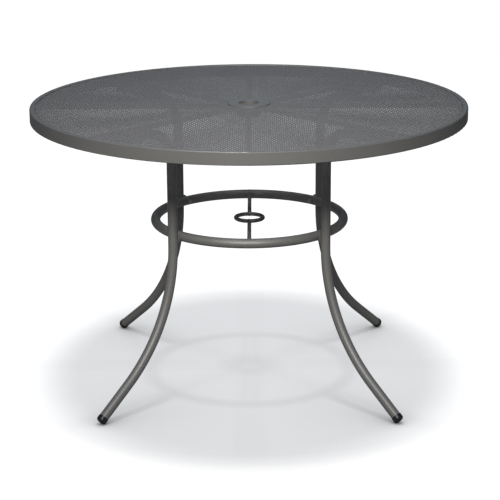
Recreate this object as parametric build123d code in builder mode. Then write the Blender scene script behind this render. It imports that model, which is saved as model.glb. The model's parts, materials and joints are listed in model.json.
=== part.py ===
from build123d import *
import os
from math import cos, degrees, radians, sin, sqrt, tan

# A round patio table with a mesh top, an umbrella hole and four bent tube legs tied by a ring.
# Millimetres, +Z up. The table stands on Z = 0 and its umbrella hole is on the Z axis.
# The front of the table is -Y.

# Overall size
table_height = 710.0
top_diameter = 1080.0

# Rim: a rolled rectangular tube
rim_width = 12.7
rim_height = 31.75
rim_wall = 1.5
rim_corner = 2.5
drain_hole = 5.0
drain_hole_count = 4

# Mesh sheet, and the flat hoop inside the rim that carries its edge. The sheet is expanded metal with
# openings of about 8 by 20 mm: the solid has a coarser grid of diamonds that leaves the same share open.
mesh_recess = 3.0
mesh_thickness = 1.0
mesh_openings_across = 12
mesh_open_share = 0.5
mesh_border = 4.0
ledge_width = 8.0
ledge_thickness = 2.0

# Braces: square bars from the hub to the rim
brace_width = 10.0
brace_height = 10.0
brace_skin = 2.0

# Hub: a flanged sleeve for the umbrella pole, in a thick collar
umbrella_bore = 50.0
sleeve_wall = 2.0
sleeve_length = 30.0
flange_diameter = 106.0
flange_thickness = 3.0
flange_round = 1.0
collar_wall = 5.0
collar_height = 22.0

# Legs: a level run under the top, an upright, and a sweep out to the foot
leg_tube = 23.8
leg_wall = 1.5
leg_inset = 265.8
leg_end_gap = 32.0
upper_bend = 75.0
lower_bend = 403.0
foot_spread = 239.1
foot_splay = 52.0

# Foot caps: plastic cups over the ends of the legs, with a flat that stands on the floor
cap_wall = 0.8
cap_end = 7.0
cap_overlap = 7.0
cap_round = 6.2
cap_gap = 0.1
floor_flat = 0.6

# Stretcher ring, held just inside the uprights, and the guide ring at its middle
ring_tube = 23.8
ring_wall = 1.5
ring_rise = 20.1
guide_bore = 58.5
guide_rod = 10.0

# Saddle spacers between the ring and the uprights: taller than the ring and narrower than a leg
spacer_thickness = 1.0
spacer_width = 19.0
spacer_height = 30.0
spacer_hug = 5.0

# Fasteners
bolt_diameter = 6.0
bolt_head_across = 10.0
bolt_head_height = 4.0
bolt_hole_gap = 0.3
bolt_tip_gap = 0.5
leg_bolt_inset = 25.0
saddle_diameter = 16.0
saddle_thickness = 1.5
washer_diameter = 14.0
washer_thickness = 1.5
insert_wall = 1.5
insert_length = 12.0
insert_collar = 1.0
insert_collar_length = 3.0

# Gaps: welded pieces, pieces that slide together, saddles on tubes, and threads
weld_gap = 0.2
sleeve_gap = 0.3
seat_gap = 0.1
thread_gap = 0.05

# Every other brace carries a leg. Names go round from +X.
brace_names = ["right", "rear_right", "rear", "rear_left", "left", "front_left", "front", "front_right"]
brace_step = 360.0 / len(brace_names)
leg_names = brace_names[1::2]
leg_angles = [brace_step * brace_names.index(name) for name in leg_names]

# Heights, from the top down
mesh_face = table_height - mesh_recess
mesh_under = mesh_face - mesh_thickness
brace_bottom = mesh_under - brace_height
leg_run = brace_bottom - saddle_thickness - leg_tube / 2
leg_run_bottom = leg_run - leg_tube / 2

# Radii about the table's axis, from the rim in
rim_inside = top_diameter / 2 - rim_width
leg_end_radius = rim_inside - leg_end_gap
leg_radius = rim_inside - leg_inset
foot_radius = leg_radius + foot_spread
ring_radius = leg_radius - leg_tube / 2 - spacer_thickness - ring_tube / 2
ring_inside = ring_radius - ring_tube / 2
guide_radius = (guide_bore + guide_rod) / 2
sleeve_outside = umbrella_bore / 2 + sleeve_wall
hub_hole = sleeve_outside + sleeve_gap
collar_outside = hub_hole + collar_wall

# The foot ends where its cap, rounded at the end, is cut flat by the floor.
splay = radians(foot_splay)
cap_outside = leg_tube / 2 + cap_gap + cap_wall
foot_height = (cap_round - floor_flat + (cap_outside - cap_round) * sin(splay)
               + (cap_end - cap_round) * cos(splay))
knee_height = foot_height + foot_spread / tan(splay)
ring_height = knee_height + lower_bend * tan(splay / 2) + ring_rise

# Bolts: two up through each leg's level run, and one from inside the ring into each upright
bolt_hole = bolt_diameter + 2 * bolt_hole_gap
leg_bolt_spots = [(leg_radius + upper_bend + leg_bolt_inset, 0), (leg_end_radius - leg_bolt_inset, 0)]
brace_hole_depth = brace_height - brace_skin
insert_outside = bolt_diameter / 2 + insert_wall
insert_collar_outside = insert_outside + insert_collar
insert_mouth = leg_radius - sqrt((leg_tube / 2) ** 2 - insert_outside ** 2) + seat_gap
insert_grip = leg_radius - sqrt((leg_tube / 2 - leg_wall) ** 2 - insert_collar_outside ** 2) + seat_gap
spacer_start = ring_radius + ring_tube / 2 - spacer_hug
spacer_depth = spacer_thickness + 2 * spacer_hug


def level_plane(angle, height):
    """A level plane at a height, with X pointing outward at an angle."""
    return Plane.XY.offset(height).rotated((0, 0, angle))


def upright_plane(angle):
    """The upright plane through the table's axis at an angle, with X outward and Y up."""
    turn = radians(angle)
    return Plane(origin=(0, 0, 0), x_dir=(cos(turn), sin(turn), 0), z_dir=(sin(turn), -cos(turn), 0))


def outward_plane(angle, height, radius=0.0):
    """An upright plane that faces outward at an angle, a radius away from the table's axis."""
    turn = radians(angle)
    outward = Vector(cos(turn), sin(turn), 0)
    middle = outward * radius + Vector(0, 0, height)
    return Plane(origin=middle, x_dir=(-sin(turn), cos(turn), 0), z_dir=outward)


def hoop(section_radius, hoop_radius, height, mode=Mode.ADD):
    """A round hoop about the table's axis, added to or taken from the part being built."""
    with BuildSketch(Plane.XZ) as section:
        with Locations((hoop_radius, height)):
            Circle(section_radius)
    revolve(section.sketch, axis=Axis.Z, mode=mode)


os.makedirs("parts", exist_ok=True)

# Rim hoop, with drain holes in its lower wall
with BuildPart() as top_rim:
    rim_middle = top_diameter / 2 - rim_width / 2
    with BuildSketch(Plane.XZ):
        with Locations((rim_middle, table_height - rim_height / 2)):
            RectangleRounded(rim_width, rim_height, rim_corner)
            Rectangle(rim_width - 2 * rim_wall, rim_height - 2 * rim_wall, mode=Mode.SUBTRACT)
    revolve(axis=Axis.Z)
    with BuildSketch(level_plane(brace_step / 2, table_height - rim_height)):
        with PolarLocations(rim_middle, drain_hole_count):
            Circle(drain_hole / 2)
    extrude(amount=2 * rim_wall, mode=Mode.SUBTRACT)
top_rim.part.label = "top_rim"
export_step(top_rim.part, "parts/top_rim.step")

# Flat hoop under the edge of the mesh
with BuildPart() as mesh_ledge:
    with BuildSketch(Plane.XY.offset(mesh_under - ledge_thickness)):
        Circle(rim_inside - weld_gap)
        Circle(rim_inside - ledge_width, mode=Mode.SUBTRACT)
    extrude(amount=ledge_thickness)
mesh_ledge.part.label = "mesh_ledge"
export_step(mesh_ledge.part, "parts/mesh_ledge.step")

# Mesh sheet, with the hole for the umbrella sleeve and a grid of diamonds between the flange and the ledge
mesh_open_from = flange_diameter / 2 + mesh_border
mesh_open_to = rim_inside - ledge_width - mesh_border
mesh_pitch = 2 * mesh_open_to / mesh_openings_across
mesh_opening = mesh_pitch * sqrt(mesh_open_share)
with BuildSketch() as mesh_diamonds:
    with Locations(Rotation(0, 0, brace_step)):
        with GridLocations(mesh_pitch, mesh_pitch, mesh_openings_across, mesh_openings_across):
            Rectangle(mesh_opening, mesh_opening)
    Circle(mesh_open_to, mode=Mode.INTERSECT)
    Circle(mesh_open_from, mode=Mode.SUBTRACT)
with BuildPart() as mesh_top:
    with BuildSketch(Plane.XY.offset(mesh_under)):
        Circle(rim_inside - weld_gap)
        Circle(hub_hole, mode=Mode.SUBTRACT)
        add(mesh_diamonds.sketch, mode=Mode.SUBTRACT)
    extrude(amount=mesh_thickness)
mesh_top.part.label = "mesh_top"
export_step(mesh_top.part, "parts/mesh_top.step")


def make_brace(angle, carries_leg):
    """A square bar from the collar to the rim, stepped under the ledge, tapped where a leg bolts on."""
    with BuildPart() as brace:
        with BuildSketch(level_plane(angle, brace_bottom)):
            Rectangle(rim_inside, brace_width, align=(Align.MIN, Align.CENTER))
            Circle(rim_inside - weld_gap, mode=Mode.INTERSECT)
            Circle(collar_outside + weld_gap, mode=Mode.SUBTRACT)
        extrude(amount=brace_height)
        with BuildSketch(Plane.XY.offset(mesh_under - ledge_thickness - weld_gap)):
            Circle(rim_inside)
            Circle(rim_inside - ledge_width - weld_gap, mode=Mode.SUBTRACT)
        extrude(amount=ledge_thickness + weld_gap, mode=Mode.SUBTRACT)
        if carries_leg:
            with BuildSketch(level_plane(angle, brace_bottom)):
                with Locations(*leg_bolt_spots):
                    Circle(bolt_diameter / 2 + thread_gap)
            extrude(amount=brace_hole_depth, mode=Mode.SUBTRACT)
    return brace


for number, name in enumerate(brace_names):
    brace = make_brace(number * brace_step, name in leg_names)
    brace.part.label = f"brace_{name}"
    export_step(brace.part, f"parts/brace_{name}.step")

# Collar that the braces are welded to
with BuildPart() as hub_collar:
    with BuildSketch(Plane.XY.offset(mesh_under - collar_height)):
        Circle(collar_outside)
        Circle(hub_hole, mode=Mode.SUBTRACT)
    extrude(amount=collar_height)
hub_collar.part.label = "hub_collar"
export_step(hub_collar.part, "parts/hub_collar.step")

# Flanged sleeve for the umbrella pole, dropped in from above
with BuildPart() as umbrella_sleeve:
    with BuildSketch(Plane.XY.offset(mesh_face)):
        Circle(flange_diameter / 2)
    extrude(amount=flange_thickness)
    fillet(umbrella_sleeve.faces().sort_by(Axis.Z)[-1].edges(), flange_round)
    with BuildSketch(Plane.XY.offset(mesh_face - sleeve_length)):
        Circle(sleeve_outside)
    extrude(amount=sleeve_length)
    with BuildSketch(Plane.XY.offset(mesh_face - sleeve_length)):
        Circle(umbrella_bore / 2)
    extrude(amount=sleeve_length + flange_thickness, mode=Mode.SUBTRACT)
umbrella_sleeve.part.label = "umbrella_sleeve"
export_step(umbrella_sleeve.part, "parts/umbrella_sleeve.step")


def make_leg(angle):
    """One bent tube, from its open end near the rim to its foot, with its bolt and insert holes."""
    with BuildPart() as leg:
        with BuildLine(upright_plane(angle)) as leg_line:
            FilletPolyline(
                (leg_end_radius, leg_run),
                (leg_radius, leg_run),
                (leg_radius, knee_height),
                (foot_radius, foot_height),
                radius=[upper_bend, lower_bend],
            )
        with BuildSketch(Plane(origin=leg_line.line @ 0, z_dir=leg_line.line % 0)):
            Circle(leg_tube / 2)
            Circle(leg_tube / 2 - leg_wall, mode=Mode.SUBTRACT)
        sweep()
        with BuildSketch(level_plane(angle, leg_run - leg_tube)):
            with Locations(*leg_bolt_spots):
                Circle(bolt_hole / 2)
        extrude(amount=2 * leg_tube, mode=Mode.SUBTRACT)
        with BuildSketch(outward_plane(angle, ring_height, leg_radius)):
            Circle(insert_outside + seat_gap)
        extrude(amount=-leg_tube, mode=Mode.SUBTRACT)
    return leg


def make_foot_cap(angle):
    """A cup over the end of a leg, rounded at its end and cut flat by the floor."""
    turn = radians(angle)
    foot = Vector(foot_radius * cos(turn), foot_radius * sin(turn), foot_height)
    along = Vector(sin(splay) * cos(turn), sin(splay) * sin(turn), -cos(splay))
    foot_plane = Plane(origin=foot, z_dir=along)
    with BuildPart() as foot_cap:
        with BuildSketch(foot_plane.offset(-cap_overlap)):
            Circle(cap_outside)
        extrude(amount=cap_overlap + cap_end)
        fillet(foot_cap.faces().sort_by(Axis(foot, along))[-1].edges(), cap_round)
        with BuildSketch(foot_plane.offset(-cap_overlap)):
            Circle(leg_tube / 2 + cap_gap)
        extrude(amount=cap_overlap + cap_gap, mode=Mode.SUBTRACT)
        split(bisect_by=Plane.XY, keep=Keep.TOP)
    return foot_cap


for name, angle in zip(leg_names, leg_angles):
    leg = make_leg(angle)
    leg.part.label = f"leg_{name}"
    export_step(leg.part, f"parts/leg_{name}.step")
    foot_cap = make_foot_cap(angle)
    foot_cap.part.label = f"foot_cap_{name}"
    export_step(foot_cap.part, f"parts/foot_cap_{name}.step")

# Ring between the uprights, rolled with its weld seam at the rear and drilled for its bolts
with BuildPart() as stretcher_ring:
    with BuildSketch(Plane.YZ):
        with Locations((ring_radius, ring_height)):
            Circle(ring_tube / 2)
            Circle(ring_tube / 2 - ring_wall, mode=Mode.SUBTRACT)
    revolve(axis=Axis.Z, revolution_arc=360 - degrees(weld_gap / ring_radius))
    for angle in leg_angles:
        with BuildSketch(outward_plane(angle, ring_height, ring_radius - ring_tube)):
            Circle(bolt_hole / 2)
        extrude(amount=2 * ring_tube, mode=Mode.SUBTRACT)
stretcher_ring.part.label = "stretcher_ring"
export_step(stretcher_ring.part, "parts/stretcher_ring.step")

# Saddle spacers between the ring and the uprights
with BuildPart() as ring_spacers:
    for angle in leg_angles:
        with BuildSketch(outward_plane(angle, ring_height, spacer_start)):
            SlotOverall(spacer_height, spacer_width, rotation=90)
            Circle(bolt_hole / 2, mode=Mode.SUBTRACT)
        extrude(amount=spacer_depth)
    hoop(ring_tube / 2 + seat_gap, ring_radius, ring_height, mode=Mode.SUBTRACT)
    for angle in leg_angles:
        with BuildSketch(level_plane(angle, ring_height - spacer_height)):
            with Locations((leg_radius, 0)):
                Circle(leg_tube / 2 + seat_gap)
        extrude(amount=2 * spacer_height, mode=Mode.SUBTRACT)
ring_spacers.part.label = "ring_spacers"
export_step(ring_spacers.part, "parts/ring_spacers.step")

# Threaded inserts in the uprights, each with a collar behind the tube's wall
with BuildPart() as leg_inserts:
    for angle in leg_angles:
        with BuildSketch(outward_plane(angle, ring_height, insert_mouth)):
            Circle(insert_outside)
        extrude(amount=insert_length)
        with BuildSketch(outward_plane(angle, ring_height, insert_grip)):
            Circle(insert_collar_outside)
        extrude(amount=insert_collar_length)
        with BuildSketch(outward_plane(angle, ring_height, insert_mouth)):
            Circle(bolt_diameter / 2 + thread_gap)
        extrude(amount=insert_length, mode=Mode.SUBTRACT)
leg_inserts.part.label = "leg_inserts"
export_step(leg_inserts.part, "parts/leg_inserts.step")

# Bolts from inside the ring, through the spacers, into the inserts
with BuildPart() as ring_bolts:
    ring_bolt_seat = ring_inside - washer_thickness
    ring_bolt_tip = insert_mouth + insert_length - bolt_tip_gap
    for angle in leg_angles:
        with BuildSketch(outward_plane(angle, ring_height, ring_bolt_seat)):
            RegularPolygon(bolt_head_across / 2, 6, major_radius=False)
        extrude(amount=-bolt_head_height)
        with BuildSketch(outward_plane(angle, ring_height, ring_bolt_seat)):
            Circle(bolt_diameter / 2)
        extrude(amount=ring_bolt_tip - ring_bolt_seat)
ring_bolts.part.label = "ring_bolts"
export_step(ring_bolts.part, "parts/ring_bolts.step")

# Bolts up through the legs into the braces
with BuildPart() as leg_bolts:
    leg_bolt_seat = leg_run_bottom - washer_thickness
    leg_bolt_tip = brace_bottom + brace_hole_depth - bolt_tip_gap
    for angle in leg_angles:
        with BuildSketch(level_plane(angle, leg_bolt_seat)):
            with Locations(*leg_bolt_spots):
                RegularPolygon(bolt_head_across / 2, 6, major_radius=False)
        extrude(amount=-bolt_head_height)
        with BuildSketch(level_plane(angle, leg_bolt_seat)):
            with Locations(*leg_bolt_spots):
                Circle(bolt_diameter / 2)
        extrude(amount=leg_bolt_tip - leg_bolt_seat)
leg_bolts.part.label = "leg_bolts"
export_step(leg_bolts.part, "parts/leg_bolts.step")

# Saddle washers under the bolt heads, hollowed to sit on the leg and ring tubes
with BuildPart() as saddle_washers:
    for angle in leg_angles:
        with BuildSketch(level_plane(angle, leg_bolt_seat)):
            with Locations(*leg_bolt_spots):
                Circle(washer_diameter / 2)
                Circle(bolt_hole / 2, mode=Mode.SUBTRACT)
        extrude(amount=leg_run - leg_bolt_seat)
        with BuildSketch(outward_plane(angle, ring_height, ring_bolt_seat)):
            Circle(washer_diameter / 2)
            Circle(bolt_hole / 2, mode=Mode.SUBTRACT)
        extrude(amount=ring_radius - ring_bolt_seat)
    for angle in leg_angles:
        with BuildSketch(outward_plane(angle, leg_run, leg_radius)):
            Circle(leg_tube / 2 + seat_gap)
        extrude(amount=leg_inset, mode=Mode.SUBTRACT)
    hoop(ring_tube / 2 + seat_gap, ring_radius, ring_height, mode=Mode.SUBTRACT)
saddle_washers.part.label = "saddle_washers"
export_step(saddle_washers.part, "parts/saddle_washers.step")

# Saddle spacers between the legs and the braces
with BuildPart() as leg_saddles:
    for angle in leg_angles:
        with BuildSketch(level_plane(angle, leg_run)):
            with Locations(*leg_bolt_spots):
                Circle(saddle_diameter / 2)
                Circle(bolt_hole / 2, mode=Mode.SUBTRACT)
        extrude(amount=brace_bottom - leg_run)
    for angle in leg_angles:
        with BuildSketch(outward_plane(angle, leg_run, leg_radius)):
            Circle(leg_tube / 2 + seat_gap)
        extrude(amount=leg_inset, mode=Mode.SUBTRACT)
leg_saddles.part.label = "leg_saddles"
export_step(leg_saddles.part, "parts/leg_saddles.step")

# Ring that steadies the umbrella pole
with BuildPart() as guide_ring:
    hoop(guide_rod / 2, guide_radius, ring_height)
guide_ring.part.label = "guide_ring"
export_step(guide_ring.part, "parts/guide_ring.step")


def make_guide_rod(angle):
    """A rod from the guide ring to the stretcher ring, its ends shaped to both."""
    with BuildPart() as rod:
        with BuildSketch(outward_plane(angle, ring_height, guide_radius)):
            Circle(guide_rod / 2)
        extrude(amount=ring_radius - guide_radius)
        hoop(guide_rod / 2 + weld_gap, guide_radius, ring_height, mode=Mode.SUBTRACT)
        hoop(ring_tube / 2 + weld_gap, ring_radius, ring_height, mode=Mode.SUBTRACT)
    return rod


for name in ("front", "rear"):
    guide_bar = make_guide_rod(brace_step * brace_names.index(name))
    guide_bar.part.label = f"guide_rod_{name}"
    export_step(guide_bar.part, f"parts/guide_rod_{name}.step")
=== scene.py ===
"""A round patio table: expanded metal top, umbrella hole, bent tube legs and a stretcher ring.

Metres, +Z up, the front of the table at -Y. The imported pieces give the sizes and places.
"""

import json
from math import atan2, ceil, cos, hypot, pi, radians, sin, sqrt

import bpy
from mathutils import Matrix, Vector


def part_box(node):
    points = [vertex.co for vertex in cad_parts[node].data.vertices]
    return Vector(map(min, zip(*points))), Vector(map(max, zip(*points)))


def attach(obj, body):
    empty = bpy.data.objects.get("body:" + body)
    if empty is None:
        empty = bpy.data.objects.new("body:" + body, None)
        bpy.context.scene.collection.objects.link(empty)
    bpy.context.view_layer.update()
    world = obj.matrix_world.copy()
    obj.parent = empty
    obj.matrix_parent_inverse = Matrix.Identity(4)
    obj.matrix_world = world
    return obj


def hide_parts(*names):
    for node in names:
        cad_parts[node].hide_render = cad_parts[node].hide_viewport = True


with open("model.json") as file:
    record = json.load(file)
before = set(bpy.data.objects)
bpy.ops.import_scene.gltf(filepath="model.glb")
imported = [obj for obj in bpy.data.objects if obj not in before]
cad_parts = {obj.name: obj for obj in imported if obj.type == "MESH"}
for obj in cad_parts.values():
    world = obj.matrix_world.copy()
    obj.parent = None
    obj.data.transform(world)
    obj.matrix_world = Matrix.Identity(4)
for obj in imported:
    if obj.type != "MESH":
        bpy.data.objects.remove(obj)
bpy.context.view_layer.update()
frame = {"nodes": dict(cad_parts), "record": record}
nodes = frame["nodes"]

# Sizes and places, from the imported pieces
mesh_low, mesh_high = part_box("mesh_top")
mesh_radius = mesh_high.x
mesh_thickness = mesh_high.z - mesh_low.z
flange_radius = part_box("umbrella_sleeve")[1].x
collar_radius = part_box("hub_collar")[1].x
brace_low, brace_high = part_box("brace_rear")
ledge_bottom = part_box("mesh_ledge")[0].z
ring_low, ring_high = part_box("stretcher_ring")
ring_tube = (ring_high.z - ring_low.z) / 2
ring_radius = ring_high.x - ring_tube
ring_height = (ring_low.z + ring_high.z) / 2
guide_low, guide_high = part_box("guide_ring")
guide_tube = (guide_high.z - guide_low.z) / 2
guide_radius = guide_high.x - guide_tube
rod_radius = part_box("guide_rod_front")[1].x

# Expanded metal: the diamonds' pitch across and from front to back, and their strands
pitch_across = 0.00975
pitch_deep = 0.0200
strand_width = 0.0044
strand_thickness = 0.0015
mesh_sag = 0.0035
ledge_width = 0.008
flange_margin = 0.004
sector_count = 8

# Weld beads
bead_thickness = 0.0013
bead_ripple = 0.10
bead_step = 0.0011
bead_sides = 8
seam_sink = 0.6


# Powder coat: its flakes, its slow drifts of tone, and how far its roughness varies
flake_scale, flake_range = 2600.0, (0.56, 0.72)
drift_scale, drift_range = 5.0, (0.92, 1.08)
roughness_spread = 0.06


# Finishes

def new_material(name):
    """An empty material, with its tree and its Principled shader."""
    material = bpy.data.materials.new(name)
    material.use_nodes = True
    return material, material.node_tree, material.node_tree.nodes["Principled BSDF"]


def join(tree, source, target):
    """Links one socket to another."""
    tree.links.new(source, target)


def new_math(tree, operation, first, second=None):
    """A math node on one or two sockets or numbers, as the socket that it gives."""
    node = tree.nodes.new("ShaderNodeMath")
    node.operation = operation
    for socket, given in zip(node.inputs, (first, second)):
        if isinstance(given, (int, float)):
            socket.default_value = given
        elif given is not None:
            join(tree, given, socket)
    return node.outputs["Value"]


def new_range(tree, value, low, high, to_low, to_high, smooth=False):
    """A map range node on a socket, as the socket that it gives."""
    node = tree.nodes.new("ShaderNodeMapRange")
    node.interpolation_type = "SMOOTHSTEP" if smooth else "LINEAR"
    for name, number in (("From Min", low), ("From Max", high), ("To Min", to_low), ("To Max", to_high)):
        node.inputs[name].default_value = number
    join(tree, value, node.inputs["Value"])
    return node.outputs["Result"]


def new_noise(tree, place, scale, detail):
    """A noise texture over a place, as the socket that it gives. The scale is a number or a socket."""
    node = tree.nodes.new("ShaderNodeTexNoise")
    node.inputs["Detail"].default_value = detail
    if isinstance(scale, (int, float)):
        node.inputs["Scale"].default_value = scale
    else:
        join(tree, scale, node.inputs["Scale"])
    join(tree, place, node.inputs["Vector"])
    return node.outputs["Fac"]


def new_mix(tree, factor, first, second, blend="MIX"):
    """A colour mix of two sockets or colours, as the socket that it gives."""
    node = tree.nodes.new("ShaderNodeMix")
    node.data_type = "RGBA"
    node.blend_type = blend
    sockets = (node.inputs["Factor"], node.inputs["A"], node.inputs["B"])
    for socket, given in zip(sockets, (factor, first, second)):
        if isinstance(given, bpy.types.NodeSocket):
            join(tree, given, socket)
        else:
            socket.default_value = given
    return node.outputs["Result"]


def coat_grain_group():
    """Powder coat: fine stipple, flakes a little lighter than the ground, and slow drifts of tone."""
    tree = bpy.data.node_groups.new("coat_grain", "ShaderNodeTree")
    for name, kind in (("Ground", "Color"), ("Flake", "Color"), ("Stipple Scale", "Float"),
                       ("Flake Amount", "Float"), ("Roughness", "Float")):
        tree.interface.new_socket(name, in_out="INPUT", socket_type="NodeSocket" + kind)
    for name, kind in (("Color", "Color"), ("Roughness", "Float"), ("Height", "Float")):
        tree.interface.new_socket(name, in_out="OUTPUT", socket_type="NodeSocket" + kind)
    given = tree.nodes.new("NodeGroupInput").outputs
    made = tree.nodes.new("NodeGroupOutput").inputs
    place = tree.nodes.new("ShaderNodeTexCoord").outputs["Object"]
    stipple = new_noise(tree, place, given["Stipple Scale"], 2.0)
    flakes = new_range(tree, new_noise(tree, place, flake_scale, 0.0), *flake_range, 0.0, 1.0)
    drift = new_range(tree, new_noise(tree, place, drift_scale, 3.0), 0.0, 1.0, *drift_range)
    flake_share = new_math(tree, "MULTIPLY", flakes, given["Flake Amount"])
    flaked = new_mix(tree, flake_share, given["Ground"], given["Flake"])
    join(tree, new_mix(tree, 1.0, flaked, drift, "MULTIPLY"), made["Color"])
    spread = new_range(tree, stipple, 0.0, 1.0, -roughness_spread, roughness_spread)
    join(tree, new_math(tree, "ADD", given["Roughness"], spread), made["Roughness"])
    join(tree, stipple, made["Height"])
    return tree


coat_grain = coat_grain_group()


def grained(name, ground, flake, flake_amount, roughness, metallic, stipple_scale, stipple_depth):
    """A material with the coat grain, in its own colours and at its own scale."""
    material, tree, shader = new_material(name)
    grain = tree.nodes.new("ShaderNodeGroup")
    grain.node_tree = coat_grain
    grain.inputs["Ground"].default_value = (*ground, 1)
    grain.inputs["Flake"].default_value = (*flake, 1)
    grain.inputs["Flake Amount"].default_value = flake_amount
    grain.inputs["Roughness"].default_value = roughness
    grain.inputs["Stipple Scale"].default_value = stipple_scale
    bump = tree.nodes.new("ShaderNodeBump")
    bump.inputs["Strength"].default_value = 1.0
    bump.inputs["Distance"].default_value = stipple_depth
    join(tree, grain.outputs["Color"], shader.inputs["Base Color"])
    join(tree, grain.outputs["Roughness"], shader.inputs["Roughness"])
    join(tree, grain.outputs["Height"], bump.inputs["Height"])
    join(tree, bump.outputs["Normal"], shader.inputs["Normal"])
    shader.inputs["Metallic"].default_value = metallic
    return material


pewter = (0.193, 0.188, 0.179)
pewter_flake = (0.30, 0.295, 0.285)
mesh_pewter = (0.214, 0.201, 0.194)
black = (0.012, 0.012, 0.013)
black_flake = (0.02, 0.02, 0.02)
zinc = (0.3, 0.3, 0.3)
zinc_flake = (0.4, 0.4, 0.4)

# Ground and flake colours, flake amount, roughness, metallic, and the stipple's scale and depth
finish_of = {
    "frame_coat": grained("pewter_coat", pewter, pewter_flake, 0.35, 0.50, 0.28, 900.0, 0.00003),
    "mesh_coat": grained("mesh_coat", mesh_pewter, pewter_flake, 0.30, 0.55, 0.12, 1200.0, 0.00002),
    "cap_plastic": grained("cap_plastic", black, black_flake, 0.2, 0.35, 0.0, 700.0, 0.00003),
    "fastener_steel": grained("fastener_steel", zinc, zinc_flake, 0.3, 0.38, 0.9, 1500.0, 0.00001),
}
for subpart in frame["record"]["subparts"]:
    node = nodes[subpart["node"]]
    node.data.materials.clear()
    node.data.materials.append(finish_of[subpart["material_slot"]])


# Pieces

def new_piece(name, points, faces, slot, smooth=False):
    """A mesh object from points and faces, riding on the table."""
    mesh = bpy.data.meshes.new(name)
    mesh.from_pydata(points, [], faces)
    mesh.validate()
    mesh.polygons.foreach_set("use_smooth", [smooth] * len(mesh.polygons))
    mesh.materials.append(finish_of[slot])
    piece = bpy.data.objects.new(name, mesh)
    bpy.context.scene.collection.objects.link(piece)
    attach(piece, "root")
    return piece


def sheet_sag(x, y):
    """How far the sheet hangs at a place: nothing over the braces, the hub and the ledge."""
    turn = atan2(y, x) * sector_count / (2 * pi)
    free_run = mesh_radius - ledge_width - flange_radius
    out = min(1.0, max(0.0, (hypot(x, y) - flange_radius) / free_run))
    return mesh_sag * sin(pi * turn) ** 2 * sin(pi * out ** 1.5)


def expanded_sheet():
    """The expanded metal: one diamond opening per cell, its strands shared with the cells around it."""
    half_across, half_deep = pitch_across / 2, pitch_deep / 2
    slope = atan2(half_deep, half_across)
    side_inset = strand_width / 2 / sin(slope)
    end_inset = strand_width / 2 / cos(slope)
    columns = ceil(mesh_radius / half_across) + 1
    rows = ceil(mesh_radius / half_deep) + 1
    points, faces, knots, cells = [], [], {}, {}

    def add(x, y):
        reach = hypot(x, y)
        squeeze = min(1.0, mesh_radius / reach) if reach > 0 else 1.0
        x, y = x * squeeze, y * squeeze
        under = mesh_low.z - sheet_sag(x, y)
        thickness = mesh_thickness if hypot(x, y) < flange_radius + flange_margin else strand_thickness
        points.append((x, y, under + thickness))
        points.append((x, y, under))
        return len(points) - 2

    def knot(column, row):
        if (column, row) not in knots:
            knots[column, row] = add(column * half_across, row * half_deep)
        return knots[column, row]

    def both_sides(*corners):
        faces.append(corners)
        faces.append(tuple(corner + 1 for corner in reversed(corners)))

    def wall(start, end):
        faces.append((start, end, end + 1, start + 1))

    for row in range(-rows, rows + 1):
        for column in range(-columns, columns + 1):
            x, y = column * half_across, row * half_deep
            if (row + column) % 2 and collar_radius < hypot(x, y) < mesh_radius:
                across, deep = half_across - side_inset, half_deep - end_inset
                corners = ((x + across, y), (x, y + deep), (x - across, y), (x, y - deep))
                cells[column, row] = tuple(add(*corner) for corner in corners)

    # Corners run right, rear, left, front, and side k lies between corners k and k + 1
    steps = ((1, 0), (0, 1), (-1, 0), (0, -1))
    ends = set()
    for (column, row), inner in cells.items():
        for k, (here, ahead) in enumerate(zip(steps, steps[1:] + steps[:1])):
            near, far = inner[k], inner[(k + 1) % 4]
            wall(near, far)
            ends.add((column + here[0], row + here[1]))
            beyond = cells.get((column + here[0] + ahead[0], row + here[1] + ahead[1]))
            if beyond is None:
                a, b = knot(column + here[0], row + here[1]), knot(column + ahead[0], row + ahead[1])
                both_sides(a, b, far, near)
                wall(b, a)
            elif k < 2:
                both_sides(near, beyond[(k + 3) % 4], beyond[(k + 2) % 4], far)
    for column, row in sorted(ends):
        around = [cells.get((column + x, row + y)) for x, y in steps]
        corners = [cell and cell[(k + 2) % 4] for k, cell in enumerate(around)]
        if None not in corners:
            both_sides(*corners)
            continue
        for first, second in zip(corners, corners[1:] + corners[:1]):
            if first is not None and second is not None:
                both_sides(knot(column, row), first, second)
    return new_piece("expanded_sheet", points, faces, "mesh_coat")


def rope(path, axis, closed):
    """Points and faces of a rippled weld bead along a path. The axis lies across the path."""
    points, faces = [], []
    count = len(path)
    for k, here in enumerate(path):
        ahead = path[(k + 1) % count] if closed else path[min(k + 1, count - 1)]
        behind = path[k - 1] if closed else path[max(k - 1, 0)]
        side = (ahead - behind).cross(axis).normalized()
        reach = bead_thickness * (1 + bead_ripple * (-1) ** k)
        for n in range(bead_sides):
            turn = 2 * pi * n / bead_sides
            points.append(here + reach * (cos(turn) * side + sin(turn) * axis))
    for k in range(count if closed else count - 1):
        a, b = k * bead_sides, (k + 1) % count * bead_sides
        for n in range(bead_sides):
            m = (n + 1) % bead_sides
            faces.append((a + n, a + m, b + m, b + n))
    if not closed:
        faces.append(tuple(reversed(range(bead_sides))))
        faces.append(tuple(range((count - 1) * bead_sides, count * bead_sides)))
    return points, faces


def run(corners):
    """Points a bead step apart along straight runs between corners."""
    path = [corners[0]]
    for start, end in zip(corners, corners[1:]):
        steps = max(2, round((end - start).length / bead_step))
        path += [start.lerp(end, (k + 1) / steps) for k in range(steps)]
    return path


def loop(radius, place_at):
    """Points about a bead step apart round a closed loop of a radius."""
    count = 2 * round(pi * radius / bead_step)
    return [place_at(2 * pi * k / count) for k in range(count)]


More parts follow.
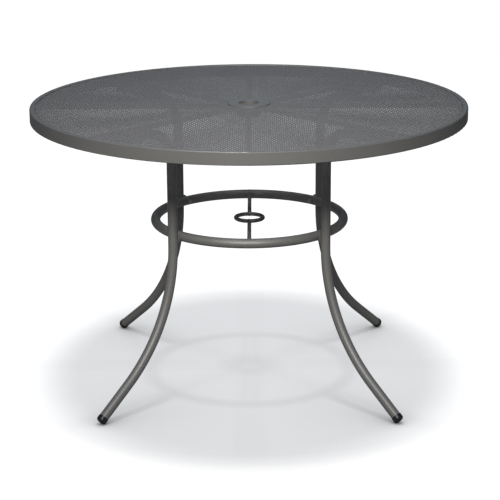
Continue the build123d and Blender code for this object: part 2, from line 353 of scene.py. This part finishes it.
def weld_beads(name, beads):
    """One piece from many beads, each a path, its axis, and whether it is closed."""
    points, faces = [], []
    for path, axis, closed in beads:
        start = len(points)
        more_points, more_faces = rope(path, axis, closed)
        points += more_points
        faces += [tuple(start + corner for corner in face) for face in more_faces]
    return new_piece(name, points, faces, "frame_coat", smooth=True)


def brace_welds():
    """A bead round three sides of each brace, at the collar and at the rim."""
    half = brace_high.x
    beads = []
    for number in range(sector_count):
        turn = Matrix.Rotation(2 * pi * number / sector_count, 3, "Z")
        outward = turn @ Vector((0, 1, 0))
        for reach, over in ((brace_low.y, brace_high.z), (brace_high.y, ledge_bottom)):
            top, low = over - bead_thickness, brace_low.z
            corners = [(half, reach, top), (half, reach, low), (-half, reach, low), (-half, reach, top)]
            beads.append((run([turn @ Vector(corner) for corner in corners]), outward, False))
    return weld_beads("brace_welds", beads)


def guide_welds():
    """A bead round each end of both guide rods, lying on the guide ring and on the stretcher ring."""
    beads = []
    for side in (-1, 1):
        def on_guide_ring(turn):
            x, z = rod_radius * cos(turn), rod_radius * sin(turn)
            reach = guide_radius + sqrt(max(0.0, guide_tube ** 2 - z ** 2))
            return Vector((x, side * sqrt(reach ** 2 - x ** 2), ring_height + z))

        def on_stretcher(turn):
            x, z = rod_radius * cos(turn), rod_radius * sin(turn)
            reach = ring_radius - sqrt(ring_tube ** 2 - z ** 2)
            return Vector((x, side * sqrt(reach ** 2 - x ** 2), ring_height + z))

        along = Vector((0, side, 0))
        beads.append((loop(rod_radius, on_guide_ring), along, True))
        beads.append((loop(rod_radius, on_stretcher), along, True))
    return weld_beads("guide_welds", beads)


def ring_seam():
    """The bead that closes the rolled stretcher ring, at the rear."""
    sunk = ring_tube - bead_thickness * seam_sink

    def round_tube(turn):
        return Vector((0, ring_radius + sunk * cos(turn), ring_height + sunk * sin(turn)))

    return weld_beads("ring_seam", [(loop(ring_tube, round_tube), Vector((1, 0, 0)), True)])


sheet = expanded_sheet()
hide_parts("mesh_top")
brace_welds()
guide_welds()
ring_seam()


# Stage, light and camera

# The floor, the table's shadow painted on it as a grey pool, and painted contact shade near what stands
# on it
floor_reach = 30.0
floor_colour = (0.80, 0.80, 0.81)
# Painted shadow: the grey of the table's shadow under it, painted into the floor's glow, with its size,
# place and fade to white
painted_shadow_grey = (0.618, 0.622, 0.629)
painted_shadow_width, painted_shadow_depth, painted_shadow_back = 0.56, 0.68, 0.03
painted_shadow_fade = (0.78, 1.10)
# Painted shade: the floor's glow darkened near what stands on it, as contact shadows, over a reach and
# to a depth
painted_contact_shade_reach = 0.25
painted_contact_shade_depth = 1.3

# How bright the floor and the backdrop are in reflections
near_tone = 0.25
front_fade, front_tone = (-0.85, -1.7), 0.2
side_fade, side_tone = (1.2, 2.4), 0.3
backdrop_tone = (0.07, 0.09, 0.12)

# Where the lamps point, how the front one is gridded, and their colours
table_middle = (0, 0, 0.5)
front_aim = (0, -0.3, 0.6)
front_spread = radians(40)
warm = (1.0, 0.985, 0.955)
blue = (0.6, 0.8, 1.0)
ambient_blue = (0.75, 0.88, 1.0)

# The photograph's camera
camera_place = (0.01576, -4.0934, 1.5370)
camera_pitch, camera_yaw, camera_roll = 0.287, -0.0036, -0.0055
camera_lens, camera_sensor = 120.9, 36.0


def seen_ray(tree, mirrored_tone):
    """One for rays from the camera, a tone for reflections and glass, none for light on things."""
    path = tree.nodes.new("ShaderNodeLightPath").outputs
    mirrored = new_math(tree, "MAXIMUM", path["Is Glossy Ray"], path["Is Transmission Ray"])
    toned = new_math(tree, "MULTIPLY", mirrored, mirrored_tone)
    return new_math(tree, "MAXIMUM", path["Is Camera Ray"], toned)


def floor_material():
    """Pale floor: a painted shadow under the table as a soft grey pool, painted contact shade near what
    stands on it, white around it, dimmer in reflections.
    """
    material, tree, shader = new_material("pale_floor")
    shader.inputs["Base Color"].default_value = (*floor_colour, 1)
    shader.inputs["Roughness"].default_value = 0.8
    shader.inputs["Specular IOR Level"].default_value = 0.0
    place = tree.nodes.new("ShaderNodeTexCoord").outputs["Object"]
    # The painted shadow under the table: grey inside the pool, fading to white outside it
    painted_shadow_mapping = tree.nodes.new("ShaderNodeMapping")
    painted_shadow_mapping.vector_type = "TEXTURE"
    painted_shadow_mapping.inputs["Location"].default_value = (0, painted_shadow_back, 0)
    painted_shadow_mapping.inputs["Scale"].default_value = (painted_shadow_width, painted_shadow_depth, 1)
    away = tree.nodes.new("ShaderNodeVectorMath")
    away.operation = "LENGTH"
    join(tree, place, painted_shadow_mapping.inputs["Vector"])
    join(tree, painted_shadow_mapping.outputs["Vector"], away.inputs[0])
    out_of_painted_shadow = new_range(tree, away.outputs["Value"], *painted_shadow_fade, 0.0, 1.0, smooth=True)
    colour = new_mix(tree, out_of_painted_shadow, (*painted_shadow_grey, 1), (1, 1, 1, 1))
    # Painted contact shade: ambient occlusion darkens the floor's glow near the legs and feet
    painted_contact_shade = tree.nodes.new("ShaderNodeAmbientOcclusion")
    painted_contact_shade.inputs["Distance"].default_value = painted_contact_shade_reach
    painted_contact_darkening = new_math(tree, "POWER", painted_contact_shade.outputs["AO"], painted_contact_shade_depth)
    join(tree, new_mix(tree, 1.0, colour, painted_contact_darkening, "MULTIPLY"), shader.inputs["Emission Color"])
    across = tree.nodes.new("ShaderNodeSeparateXYZ")
    join(tree, place, across.inputs["Vector"])
    off_middle = new_math(tree, "ABSOLUTE", across.outputs["X"])
    aside = new_range(tree, off_middle, *side_fade, 1.0, side_tone, smooth=True)
    ahead = new_range(tree, across.outputs["Y"], *front_fade, 1.0, front_tone, smooth=True)
    mirrored_tone = new_math(tree, "MULTIPLY", new_math(tree, "MULTIPLY", aside, ahead), near_tone)
    join(tree, seen_ray(tree, mirrored_tone), shader.inputs["Emission Strength"])
    return material


def make_floor():
    """A level floor under the table."""
    mesh = bpy.data.meshes.new("floor")
    r = floor_reach
    mesh.from_pydata([(-r, -r, 0), (r, -r, 0), (r, r, 0), (-r, r, 0)], [], [(0, 1, 2, 3)])
    mesh.materials.append(floor_material())
    floor = bpy.data.objects.new("floor", mesh)
    bpy.context.scene.collection.objects.link(floor)
    return floor


def make_world(ambient, ambient_strength):
    """White where the camera sees it, dimmer in reflections, and a faint blue where it only lights."""
    world = bpy.data.worlds.new("studio")
    bpy.context.scene.world = world
    world.use_nodes = True
    tree = world.node_tree
    light = tree.nodes["Background"]
    light.inputs["Color"].default_value = (*ambient, 1)
    light.inputs["Strength"].default_value = ambient_strength
    pale = tree.nodes.new("ShaderNodeBackground")
    camera_ray = tree.nodes.new("ShaderNodeLightPath").outputs["Is Camera Ray"]
    join(tree, new_mix(tree, camera_ray, (*backdrop_tone, 1), (1, 1, 1, 1)), pale.inputs["Color"])
    mix = tree.nodes.new("ShaderNodeMixShader")
    join(tree, seen_ray(tree, 1.0), mix.inputs["Fac"])
    join(tree, light.outputs["Background"], mix.inputs[1])
    join(tree, pale.outputs["Background"], mix.inputs[2])
    join(tree, mix.outputs["Shader"], tree.nodes["World Output"].inputs["Surface"])


def soft_box(name, place, width, height, power, colour, aim=table_middle, spread=pi):
    """An area lamp that points at a place, gridded where its spread is narrow."""
    lamp = bpy.data.lights.new(name, "AREA")
    lamp.shape = "RECTANGLE"
    lamp.size = width
    lamp.size_y = height
    lamp.energy = power
    lamp.color = colour
    lamp.spread = spread
    box = bpy.data.objects.new(name, lamp)
    box.location = place
    box.rotation_euler = (Vector(aim) - Vector(place)).to_track_quat("-Z", "Y").to_euler()
    bpy.context.scene.collection.objects.link(box)
    return box


def flag_off(box, thing):
    """Keeps a lamp's light off a thing, as a flag on its stand would."""
    flagged = bpy.data.collections.new("flagged_from_" + box.name)
    flagged.objects.link(thing)
    flagged.collection_objects[0].light_linking.link_state = "EXCLUDE"
    box.light_linking.receiver_collection = flagged


def let_through(box, sheet):
    """Lets all of a lamp's light through the sheet, which would stop more of it than the real mesh."""
    unshaded = bpy.data.collections.new("unshaded_from_" + box.name)
    unshaded.objects.link(sheet)
    unshaded.collection_objects[0].light_linking.link_state = "EXCLUDE"
    box.light_linking.blocker_collection = unshaded


def make_camera():
    """The photograph's view: from the front, a little above the top."""
    camera = bpy.data.objects.new("photo_camera", bpy.data.cameras.new("photo_camera"))
    camera.data.lens = camera_lens
    camera.data.sensor_width = camera_sensor
    turned = Matrix.Rotation(-camera_yaw, 4, "Z") @ Matrix.Rotation(pi / 2 - camera_pitch, 4, "X")
    rolled = Matrix.Rotation(camera_roll, 4, "Z")
    camera.matrix_world = Matrix.Translation(Vector(camera_place)) @ turned @ rolled
    bpy.context.scene.collection.objects.link(camera)
    bpy.context.scene.camera = camera


floor = make_floor()
make_world(ambient_blue, 0.01)
front_box = soft_box("front_box", (-0.28, -3.21, 2.56), 0.9, 0.75, 7.0, warm, front_aim, front_spread)
upper_box = soft_box("upper_box", (-0.21, -2.43, 3.46), 0.4, 0.3, 14, blue)
top_box = soft_box("top_box", (0.0, -0.3, 4.6), 0.42, 0.42, 26, (0.97, 0.97, 1.0))
soft_box("back_box", (0.0, 3.2, 2.6), 1.6, 0.8, 7.5, (0.6, 0.78, 1.0))
low_back_box = soft_box("low_back_box", (0.0, 3.6, 0.5), 1.8, 0.7, 60, (0.9, 0.95, 1.0))
low_back_box.visible_glossy = False
for box in (front_box, upper_box, low_back_box):
    flag_off(box, floor)
let_through(top_box, sheet)
make_camera()
bpy.context.scene.view_settings.view_transform = "Standard"
